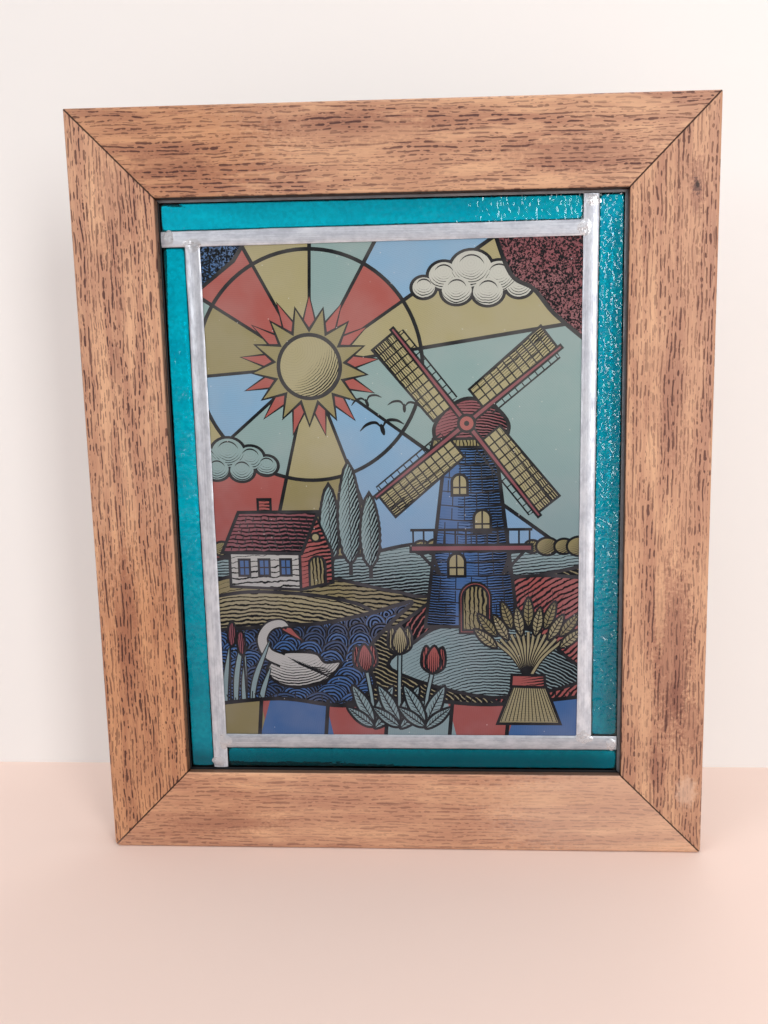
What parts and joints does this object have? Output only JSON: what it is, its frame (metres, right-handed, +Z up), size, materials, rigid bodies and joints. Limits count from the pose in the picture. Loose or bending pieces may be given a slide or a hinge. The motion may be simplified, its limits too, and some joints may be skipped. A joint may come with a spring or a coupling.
{
  "type": "framed stained glass window panel",
  "caption": "Small framed leaded-glass window: mitred oak frame, a painted pane with hammered blue-green border strips, held in soldered lead cames.",
  "frame": {"origin": "middle of the top rail's back face, where the window bears on what it hangs from", "axes": "+X to the right seen from the front, +Y backwards through the window (the painted front faces -Y), +Z up"},
  "size_m": [0.33, 0.022, 0.3961],
  "materials": {
    "oak": "honey-brown oak with dark pores and ray flecks, thin satin oil finish",
    "lead": "drawn lead came, dull light grey with lengthwise marks, brighter along its rubbed edges",
    "solder": "tin-lead solder, brighter than the lead, uneven frozen drops",
    "teal_glass": "hammered cathedral glass, blue-green all through, rippled front face",
    "painted_glass": "clear pane with a fired, nearly opaque matt picture in dark outlines"
  },
  "bodies": {
    "root": {"rail_top": "oak", "rail_right": "oak", "rail_bottom": "oak", "rail_left": "oak", "edge_lead_top": "lead", "edge_lead_right": "lead", "edge_lead_bottom": "lead", "edge_lead_left": "lead", "came_top": "lead", "came_right": "lead", "came_bottom": "lead", "came_left": "lead", "solder_front_joint_top_right": "solder", "solder_front_joint_right_bottom": "solder", "solder_front_joint_bottom_left": "solder", "solder_front_joint_left_top": "solder", "solder_front_end_top": "solder", "solder_front_end_right": "solder", "solder_front_end_bottom": "solder", "solder_front_end_left": "solder", "solder_back_joint_top_right": "solder", "solder_back_joint_right_bottom": "solder", "solder_back_joint_bottom_left": "solder", "solder_back_joint_left_top": "solder", "solder_back_end_top": "solder", "solder_back_end_right": "solder", "solder_back_end_bottom": "solder", "solder_back_end_left": "solder", "border_glass_top": "teal_glass", "border_glass_right": "teal_glass", "border_glass_bottom": "teal_glass", "border_glass_left": "teal_glass", "picture_glass": "painted_glass"}
  },
  "joints": []
}
